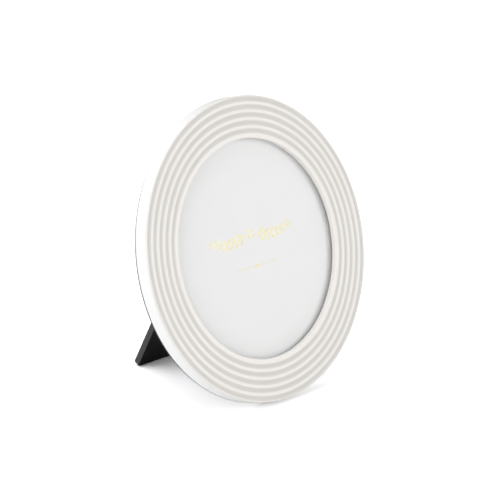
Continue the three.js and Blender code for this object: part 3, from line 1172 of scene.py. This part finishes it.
@dataclass
class Glazing(SceneGroup):
    """The glass and the card behind it, with a small foil ornament on the card."""

    glass_shift: float = 0.25 * MM
    card_shift: float = 0.5 * MM
    arris: float = 0.25 * MM
    card_round: float = 0.08 * MM
    segments: int = 192
    foil: float = 0.02 * MM
    sprig_reach: float = 28 * MM
    sprig_start: float = 3.4 * MM
    sprig_bow: float = 2.6 * MM
    sprig_rise: float = 8 * MM
    leaf_pairs: int = 6
    leaf_length: float = 5.2 * MM
    leaf_width: float = 1.7 * MM
    leaf_shrink: float = 0.35
    leaf_angle: float = math.radians(38)
    leaf_steps: int = 8
    stem_width: float = 0.34 * MM
    stem_steps: int = 20
    petal_count: int = 4
    petal_length: float = 3.0 * MM
    petal_width: float = 1.5 * MM
    rule_drop: float = 9 * MM
    rule_reach: float = 15 * MM
    rule_width: float = 0.3 * MM
    diamond: float = 1.3 * MM

    def build(self) -> None:
        """Builds the glass, the card and its ornament, and dresses them."""
        place, paint = self.bench.upright, self.palette
        glass = self._disc("window_glass", "glass_pane", self.arris, self.glass_shift)
        settle("window_glass", dress(glass, paint.glass), place, Body.FRAME, Slot.GLASS, "glass_pane")
        card = self._disc("insert_card", "photo_card", self.card_round, self.card_shift)
        settle("insert_card", dress(card, paint.card), place, Body.FRAME, Slot.CARD, "photo_card")
        front = self.bench.extent("photo_card", place)[0].y - self.card_shift
        foil = plates("card_ornament", self.outlines(), front - self.foil, front)
        settle("card_ornament", dress(foil, paint.gold), place, Body.FRAME, None)

    def _disc(self, name: str, node: str, edge: float, shift: float) -> Mesh:
        """Builds a disc in the rebate with its edges broken, against the layer in front of it.

        Args:
            name: The mesh's name.
            node: The solid that it stands for.
            edge: How far its edges are broken.
            shift: How far in front of the solid it lies.

        Returns:
            The disc.
        """
        low, high = self.bench.extent(node, self.bench.upright)
        profile = chamfered(high.x, low.y - shift, high.y - shift, edge)
        return lathe(name, profile, self.segments)

    def leaf(self, spot: Vector, angle: float, length: float, width: float) -> list[Point]:
        """Draws a pointed leaf.

        Args:
            spot: Where it starts.
            angle: Which way it points.
            length: How long it is.
            width: How wide it is at its middle.

        Returns:
            Its outline.
        """
        along = Vector((math.cos(angle), math.sin(angle)))
        across = Vector((-along.y, along.x))
        shares = [step / self.leaf_steps for step in range(self.leaf_steps + 1)]
        bulges = [(share, math.sin(HALF_TURN * share) * width / 2) for share in shares]
        upper = [spot + along * length * share + across * bulge for share, bulge in bulges]
        lower = [spot + along * length * share - across * bulge for share, bulge in bulges[1:-1]]
        return [(point.x, point.y) for point in upper + lower[::-1]]

    def stem_point(self, side: int, share: float) -> Vector:
        """Finds a point of a sprig's stem.

        Args:
            side: -1 for the left sprig, 1 for the right one.
            share: How far along the stem it is, from 0 to 1.

        Returns:
            The point.
        """
        reach = self.sprig_start + (self.sprig_reach - self.sprig_start) * share
        bow = self.sprig_bow * math.sin(HALF_TURN * share)
        return Vector((side * reach, self.sprig_rise - bow))

    def sprig(self, side: int) -> list[list[Point]]:
        """Draws one sprig: a bowed stem, leaves in pairs and a leaf at its tip.

        Args:
            side: -1 for the left sprig, 1 for the right one.

        Returns:
            Its outlines.
        """
        shares = [step / self.stem_steps for step in range(self.stem_steps + 1)]
        middle = [self.stem_point(side, share) for share in shares]
        half = Vector((0, self.stem_width / 2))
        outlines = [[tuple(p + half) for p in middle] + [tuple(p - half) for p in middle[::-1]]]
        for pair in range(self.leaf_pairs):
            share = (pair + 0.5) / self.leaf_pairs
            root = self.stem_point(side, share)
            ahead = self.stem_point(side, share + 1 / self.stem_steps) - root
            heading = math.atan2(ahead.y, ahead.x)
            size = 1 - self.leaf_shrink * share
            for turn in (-self.leaf_angle, self.leaf_angle):
                clear = Vector((math.cos(heading + turn), math.sin(heading + turn))) * self.stem_width
                length = self.leaf_length * size
                outlines.append(self.leaf(root + clear, heading + turn, length, self.leaf_width * size))
        tip = self.stem_point(side, 1)
        heading = 0 if side > 0 else HALF_TURN
        end = tip + Vector((side * self.stem_width / 2, 0))
        outlines.append(self.leaf(end, heading, self.leaf_length / 2, self.leaf_width / 2))
        return outlines

    def outlines(self) -> list[list[Point]]:
        """Draws the whole ornament: two sprigs, a rosette between them and a rule with a diamond below.

        Returns:
            Its outlines.
        """
        drawn = self.sprig(-1) + self.sprig(1)
        centre = Vector((0, self.sprig_rise))
        for petal in range(self.petal_count):
            angle = QUARTER_TURN * petal + QUARTER_TURN / 2
            start = centre + Vector((math.cos(angle), math.sin(angle))) * self.stem_width
            drawn.append(self.leaf(start, angle, self.petal_length, self.petal_width))
        level = -self.rule_drop
        half = self.rule_width / 2
        for side in (-1, 1):
            near, far = side * 2 * self.diamond, side * self.rule_reach
            low, high = level - half, level + half
            drawn.append([(near, low), (far, low), (far, high), (near, high)])
        size = self.diamond
        drawn.append([(-size, level), (0, level - size), (size, level), (0, level + size)])
        return drawn


@dataclass
class BackBoard(SceneGroup):
    """The board that closes the rebate: black paper on both faces and an edge of raw board, lightened
    further as painted light.
    """

    edge_round: float = 0.3 * MM
    rivet_hole: float = 1.15 * MM
    segments: int = 192
    round_steps: int = 4

    def build(self) -> None:
        """Builds the board with its rivet holes, and dresses it."""
        place = self.bench.upright
        low, high = self.bench.extent("back_panel", place)
        inner = high.x - self.edge_round
        front = arc((inner, low.y + self.edge_round), self.edge_round, -QUARTER_TURN, 0, self.round_steps)
        back = arc((inner, high.y - self.edge_round), self.edge_round, 0, QUARTER_TURN, self.round_steps)
        mesh = lathe("backing_board", [(0, low.y), *front, *back, (0, high.y)], self.segments)
        reach = (low.y - DRILL_PAST, high.y + DRILL_PAST)
        mesh = drill(mesh, self.rivet_hole, reach, self.bench.rivet_spots("panel_rivet", place))
        wrap_board(mesh, self.palette.paper, self.palette.board_edge)
        settle("backing_board", mesh, place, Body.FRAME, Slot.BOARD, "back_panel")


@dataclass
class Hinge(SceneGroup):
    """The strut hinge: two leaves rolled from sheet steel, the pin, four rivets and the stop tongue."""

    sheet: float = 0.75 * MM
    roll_deg: float = 290
    roll_steps: int = 24
    corner: float = 2.0 * MM
    corner_steps: int = 6
    knuckle_gap: float = 0.3 * MM
    middle_knuckle: float = 6.4 * MM
    tongue_width: float = 4.8 * MM
    tongue_length: float = 5.0 * MM
    tongue_inner: float = -0.6 * MM
    tongue_root: float = 1.2 * MM
    tongue_round: float = 1.0 * MM
    tongue_steps: int = 4
    edge_round: float = 0.1 * MM
    pin_chamfer: float = 0.2 * MM
    rivet_shank: float = 0.9 * MM
    rivet_hole: float = 1.1 * MM
    rivet_head: float = 0.9 * MM
    segments: int = 40
    dome_steps: int = 8

    def build(self) -> None:
        """Builds both leaves, the pin and the rivets, and dresses them."""
        hinge, strut = self.bench.hinge, self.bench.strut
        upper = self.leaf("upper_leaf", "hinge_panel_leaf", hinge, "panel_rivet", 1)
        lower = self.leaf("lower_leaf", "hinge_leg_leaf", strut, "leg_rivet", -1)
        lower = carve(lower, [self.tongue()], Cut.JOIN)
        made = [
            ("upper_leaf", upper, hinge, Body.FRAME, "hinge_panel_leaf"),
            ("lower_leaf", lower, strut, Body.LEG, "hinge_leg_leaf"),
            ("strut_pin", self.pin(), hinge, Body.FRAME, "hinge_pin"),
        ]
        for side in RIVET_SIDES:
            for end, place, body in (("panel", hinge, Body.FRAME), ("leg", strut, Body.LEG)):
                node = f"{end}_rivet_{side}"
                made.append((f"{end}_dome_rivet_{side}", self.rivet(node, place), place, body, node))
        for name, mesh, place, body, node in made:
            settle(name, dress(mesh, self.palette.steel), place, body, Slot.STEEL, node)

    def rows(self, length: float, barrel: float, half: float, way: int) -> list[SheetRow]:
        """Lays a leaf's sheet out, from the end of its rolled knuckle to the end of its plate.

        Args:
            length: How far the plate reaches from the pin.
            barrel: The knuckle's outer radius.
            half: Half the plate's width.
            way: 1 for a plate that runs up, -1 for one that runs down.

        Returns:
            The rows of the sheet.
        """
        radius = barrel - self.sheet / 2
        laid = []
        for step in range(self.roll_steps):
            angle = math.radians(self.roll_deg) * (1 - step / self.roll_steps)
            outward = Vector((-math.cos(angle), -way * math.sin(angle)))
            laid.append(SheetRow(outward * radius, outward, half))
        corner = (half - self.corner, length - self.corner)
        flat = [(half, 0), (half, barrel + self.knuckle_gap)]
        flat += arc(corner, self.corner, 0, QUARTER_TURN, self.corner_steps)
        return laid + [SheetRow(Vector((-radius, way * z)), Vector((-1, 0)), x) for x, z in flat]

    def leaf(self, name: str, node: str, place: Matrix, rivet: str, way: int) -> Mesh:
        """Builds a leaf: a plate with rounded corners, rolled round the pin at its knuckles.

        Args:
            name: The mesh's name.
            node: The solid that it stands for.
            place: The frame that it is drawn in.
            rivet: What its rivets' names start with.
            way: 1 for the leaf on the panel, -1 for the one on the leg.

        Returns:
            The leaf.
        """
        low, high = self.bench.extent(node, place)
        half, barrel = high.x, -low.y
        length = high.z if way > 0 else -low.z
        step = self.middle_knuckle / 2 + (self.knuckle_gap if way > 0 else 0)
        rolled = (0, 2) if way > 0 else (1,)
        rows = self.rows(length, barrel, half, way)
        columns = [-half, -step, step, half]
        flat_from = self.roll_steps + 1

        def present(row: int, column: int) -> bool:
            """Tells whether the sheet has metal in a cell: the knuckles are rolled, the rest is notched."""
            return row >= flat_from or column in rolled

        mesh = bent_sheet(name, rows, columns, self.sheet, present)
        spots = self.bench.rivet_spots(rivet, place)
        mesh = drill(mesh, self.rivet_hole, (-barrel - DRILL_PAST, 0), spots)
        return soften(mesh, self.edge_round)

    def tongue(self) -> Mesh:
        """Builds the tongue that stops the open leg against the upper leaf.

        Returns:
            The tongue, turned with the open leg.
        """
        half, cut = self.tongue_width / 2, self.tongue_round
        low, high = self.tongue_root, self.tongue_length
        corners = [((-half, low), 0), ((half, low), 0), ((half, high), cut), ((-half, high), cut)]
        outline = rounded(corners, self.tongue_steps)
        mesh = plates("stop_tongue", [outline], self.tongue_inner, self.tongue_inner + self.sheet)
        soften(mesh, self.edge_round)
        mesh.transform(Matrix.Rotation(-self.bench.open_angle, 4, "X"))
        return mesh

    def pin(self) -> Mesh:
        """Builds the pin with chamfered ends.

        Returns:
            The pin, along the hinge's line.
        """
        low, high = self.bench.extent("hinge_pin", self.bench.hinge)
        mesh = lathe("strut_pin", chamfered(high.y, low.x, high.x, self.pin_chamfer), self.segments)
        mesh.transform(Matrix.Rotation(-QUARTER_TURN, 4, "Z"))
        return mesh

    def rivet(self, node: str, place: Matrix) -> Mesh:
        """Builds a rivet with a domed head.

        Args:
            node: The solid that it stands for.
            place: The frame that it is drawn in.

        Returns:
            The rivet.
        """
        low, high = self.bench.extent(node, place)
        spot = (low + high) / 2
        head = (high.x - low.x) / 2
        profile = headed(self.rivet_shank, head, self.rivet_head, low.y, high.y, self.dome_steps)
        mesh = lathe(node, profile, self.segments)
        mesh.transform(Matrix.Translation((spot.x, 0, spot.z)))
        return mesh


@dataclass
class StrutLeg(SceneGroup):
    """The easel leg: a board that widens to its foot, black paper on both faces and an edge of raw board,
    lightened further as painted light.
    """

    top_width: float = 21.7 * MM
    foot_width: float = 27.7 * MM
    top_round: float = 3 * MM
    foot_round: float = 3 * MM
    rivet_hole: float = 1.15 * MM
    edge_round: float = 0.22 * MM
    sharp_deg: float = 25
    corner_steps: int = 8

    def build(self) -> None:
        """Builds the leg, cuts its foot level with the floor, and dresses it."""
        place = self.bench.strut
        low, high = self.bench.extent("easel_leg", place)
        top, foot = self.top_width / 2, self.foot_width / 2
        corners = [((-foot, low.z), self.foot_round), ((foot, low.z), self.foot_round)]
        corners += [((top, high.z), self.top_round), ((-top, high.z), self.top_round)]
        mesh = plates("strut_leg", [rounded(corners, self.corner_steps)], low.y, high.y)
        reach = (low.y - DRILL_PAST, high.y + DRILL_PAST)
        mesh = drill(mesh, self.rivet_hole, reach, self.bench.rivet_spots("leg_rivet", place))
        soften(level_foot(mesh, place), self.edge_round, sharp_deg=self.sharp_deg)
        wrap_board(mesh, self.palette.paper, self.palette.board_edge)
        settle("strut_leg", mesh, place, Body.LEG, Slot.BOARD, "easel_leg")


@dataclass
class Swivels(SceneGroup):
    """The swivel buttons that hold the back board in, each on its own screw."""

    hole: float = 1.25 * MM
    edge_round: float = 0.2 * MM
    end_steps: int = 16
    shank: float = 1.0 * MM
    head_height: float = 1.3 * MM
    slot_length: float = 2.7 * MM
    slot_width: float = 0.62 * MM
    slot_depth: float = 0.75 * MM
    slot_taper: float = 0.45
    slot_turn: float = math.radians(37)
    segments: int = 48
    dome_steps: int = 8

    def build(self) -> None:
        """Builds each button and its screw, and dresses them."""
        brass = self.palette.brass
        for number in BUTTON_NUMBERS:
            place, body = self.bench.swivel(number), Body(f"button_{number}")
            strip, strip_node = f"swivel_button_{number}", f"turn_button_{number}"
            settle(strip, dress(self.button(strip_node, place), brass), place, body, Slot.BRASS, strip_node)
            screw, screw_node = f"swivel_screw_{number}", f"button_screw_{number}"
            mesh = dress(self.screw(screw_node, place, self.slot_turn * number), brass)
            settle(screw, mesh, place, Body.FRAME, Slot.BRASS, screw_node)

    def button(self, node: str, place: Matrix) -> Mesh:
        """Builds a button: a strip with round ends and a hole for its screw.

        Args:
            node: The solid that it stands for.
            place: The frame of its screw.

        Returns:
            The button.
        """
        low, high = self.bench.extent(node, place)
        half = high.x
        outline = arc((0, 0), half, 0, HALF_TURN, self.end_steps)
        outline += arc((0, low.z + half), half, HALF_TURN, FULL_TURN, self.end_steps)
        mesh = plates("swivel_button", [outline], low.y, high.y)
        mesh = drill(mesh, self.hole, (low.y - DRILL_PAST, high.y + DRILL_PAST), [(0, 0)])
        return soften(mesh, self.edge_round)

    def screw(self, node: str, place: Matrix, turn: float) -> Mesh:
        """Builds a screw with a domed head and a cross recess.

        Args:
            node: The solid that it stands for.
            place: Its frame.
            turn: How its recess is turned.

        Returns:
            The screw.
        """
        low, high = self.bench.extent(node, place)
        profile = headed(self.shank, high.x, self.head_height, low.y, high.y, self.dome_steps)
        mesh = lathe("swivel_screw", profile, self.segments)
        tools = [self.slot(high.y, turn), self.slot(high.y, turn + QUARTER_TURN)]
        return carve(mesh, tools, Cut.REMOVE)

    def slot(self, top: float, turn: float) -> Mesh:
        """Makes the tool for one arm of the cross recess, which narrows with its depth.

        Args:
            top: Depth of the head's top.
            turn: How the arm is turned about the screw.

        Returns:
            The tool.
        """
        length, width = self.slot_length / 2, self.slot_width / 2
        outline = [(-length, -width), (length, -width), (length, width), (-length, width)]
        mesh = plates("slot", [outline], -1, 1)
        for vertex in mesh.vertices:
            deep = vertex.co.y < 0
            narrow = self.slot_taper if deep else 1
            reach = top - self.slot_depth if deep else top + self.slot_depth
            vertex.co = (vertex.co.x * narrow, reach, vertex.co.z * narrow)
        mesh.transform(Matrix.Rotation(turn, 4, "Y"))
        return mesh


# Studio


COOL_WHITE: Colour = (0.98, 0.975, 1.0)


def view_axes(azimuth_deg: float, elevation_deg: float) -> tuple[Vector, Vector, Vector]:
    """Finds the directions of a view round the part.

    Args:
        azimuth_deg: Turn of the view, with 0 along +Y.
        elevation_deg: Height of the view over the horizon.

    Returns:
        The view's right, up and back.
    """
    azimuth, elevation = math.radians(azimuth_deg), math.radians(elevation_deg)
    level = math.cos(elevation)
    back = Vector((math.sin(azimuth) * level, -math.cos(azimuth) * level, math.sin(elevation)))
    right = Vector((math.cos(azimuth), math.sin(azimuth), 0))
    return right, back.cross(right), back


@dataclass(frozen=True)
class Softbox:
    """A soft lamp that faces the part."""

    name: str
    azimuth_deg: float
    elevation_deg: float
    distance: float
    size: float
    radiance: float
    colour: Colour = (1, 1, 1)

    def hang(self, target: Vector) -> None:
        """Hangs the lamp so that it faces a point.

        Args:
            target: The point.
        """
        lamp = bpy.data.lights.new(self.name, "AREA")
        lamp.shape = "SQUARE"
        lamp.size = self.size
        lamp.energy = self.radiance * math.pi * self.size**2
        lamp.color = self.colour
        holder = into_scene(self.name, lamp)
        away = view_axes(self.azimuth_deg, self.elevation_deg)[2]
        holder.location = target + away * self.distance
        holder.rotation_euler = away.to_track_quat("Z", "Y").to_euler()
        holder.visible_camera = False


@dataclass
class Studio(SceneGroup):
    """A white sweep, a pale dome with softboxes at the left, right and back, and the picture's camera."""

    azimuth_deg: float = -46.79
    elevation_deg: float = 16.70
    distance: float = 1558 * MM
    pixels_per_metre: float = 1930
    image_side: float = 500
    face_centre_pixel: Point = (259.4, 248.3)
    sensor: float = 36
    clip_end: float = 50
    sweep_side: float = 3.2
    dome_front: float = 0.361
    dome_back: float = 0.045
    dome_towards: tuple[float, float, float] = (-0.45, -0.75, 0.48)
    dome_turn: Point = (-0.3, 0.6)
    band_gain: float = 7.0
    band_height: float = 0.27
    band_half: float = 0.20
    left_softbox: Softbox = Softbox("left softbox", -76, 20, 3.0, 1.8, 0.72, COOL_WHITE)
    right_softbox: Softbox = Softbox("right softbox", 28, 15, 1.5, 0.6, 3.5)
    back_softbox: Softbox = Softbox("back softbox", -150, 64, 2.0, 3.6, 1.4, COOL_WHITE)

    def build(self) -> None:
        """Sets the camera, the floor and the light."""
        self.camera()
        self.floor()
        self.dome()
        for softbox in (self.left_softbox, self.right_softbox, self.back_softbox):
            softbox.hang(self.bench.upright.translation)
        settings = bpy.context.scene.view_settings
        settings.view_transform = "Standard"
        settings.look = "None"

    def camera(self) -> None:
        """Places the camera so that the face's centre falls on its pixel."""
        right, up, back = view_axes(self.azimuth_deg, self.elevation_deg)
        middle = self.image_side / 2
        across = (self.face_centre_pixel[0] - middle) / self.pixels_per_metre
        rise = (middle - self.face_centre_pixel[1]) / self.pixels_per_metre
        lens = bpy.data.cameras.new("picture camera")
        lens.sensor_width = self.sensor
        lens.lens = self.sensor * self.pixels_per_metre * self.distance / self.image_side
        lens.clip_end = self.clip_end
        holder = into_scene("picture camera", lens)
        spot = self.bench.upright.translation + back * self.distance - right * across - up * rise
        holder.matrix_world = Matrix.Translation(spot) @ Matrix((right, up, back)).transposed().to_4x4()
        bpy.context.scene.camera = holder

    def floor(self) -> None:
        """Lays the sweep under the part."""
        half = self.sweep_side / 2
        build = bmesh.new()
        corners = [(-half, -half), (half, -half), (half, half), (-half, half)]
        build.faces.new([build.verts.new((x, y, 0)) for x, y in corners])
        mesh = dress(mesh_from(build, "studio_sweep"), self.palette.sweep)
        add_piece("studio_sweep", mesh, Matrix())

    def dome(self) -> None:
        """Lights the room from all round, most from the front and low, and shows the camera white."""
        world = bpy.data.worlds.new("studio dome")
        world.use_nodes = True
        bpy.context.scene.world = world
        canvas = Canvas(world.node_tree)
        way = canvas.add("ShaderNodeTexCoord").outputs["Generated"]
        facing = canvas.dot(way, Vector(self.dome_towards).normalized())
        level = canvas.span(facing, self.dome_turn, (self.dome_back, self.dome_front))
        off = canvas.math("ABSOLUTE", canvas.math("SUBTRACT", canvas.height(way), self.band_height), 0)
        band = canvas.span(off, (0, self.band_half), (1 + self.band_gain, 1))
        room = canvas.tree.nodes["Background"]
        canvas.fill(room, {"Color": (1, 1, 1, 1), "Strength": canvas.math("MULTIPLY", level, band)})
        white = canvas.add("ShaderNodeBackground", {"Color": (1, 1, 1, 1)})
        for_camera = canvas.add("ShaderNodeLightPath").outputs["Is Camera Ray"]
        sources = {"Fac": for_camera, 1: room.outputs["Background"], 2: white.outputs["Background"]}
        mix = canvas.add("ShaderNodeMixShader", sources)
        canvas.fill(canvas.tree.nodes["World Output"], {"Surface": mix.outputs["Shader"]})


def main() -> None:
    """Sets the studio and builds the sub-assemblies in it, in order."""
    logging.basicConfig(level=logging.INFO, format="%(name)s: %(message)s")
    bench = Bench(frame)
    palette = Palette(EffectShelf())
    for kind in (Studio, Rim, Glazing, BackBoard, Hinge, StrutLeg, Swivels):
        LOG.info("building %s", kind.__name__)
        kind(bench, palette).build()


if __name__ == "__main__":
    main()
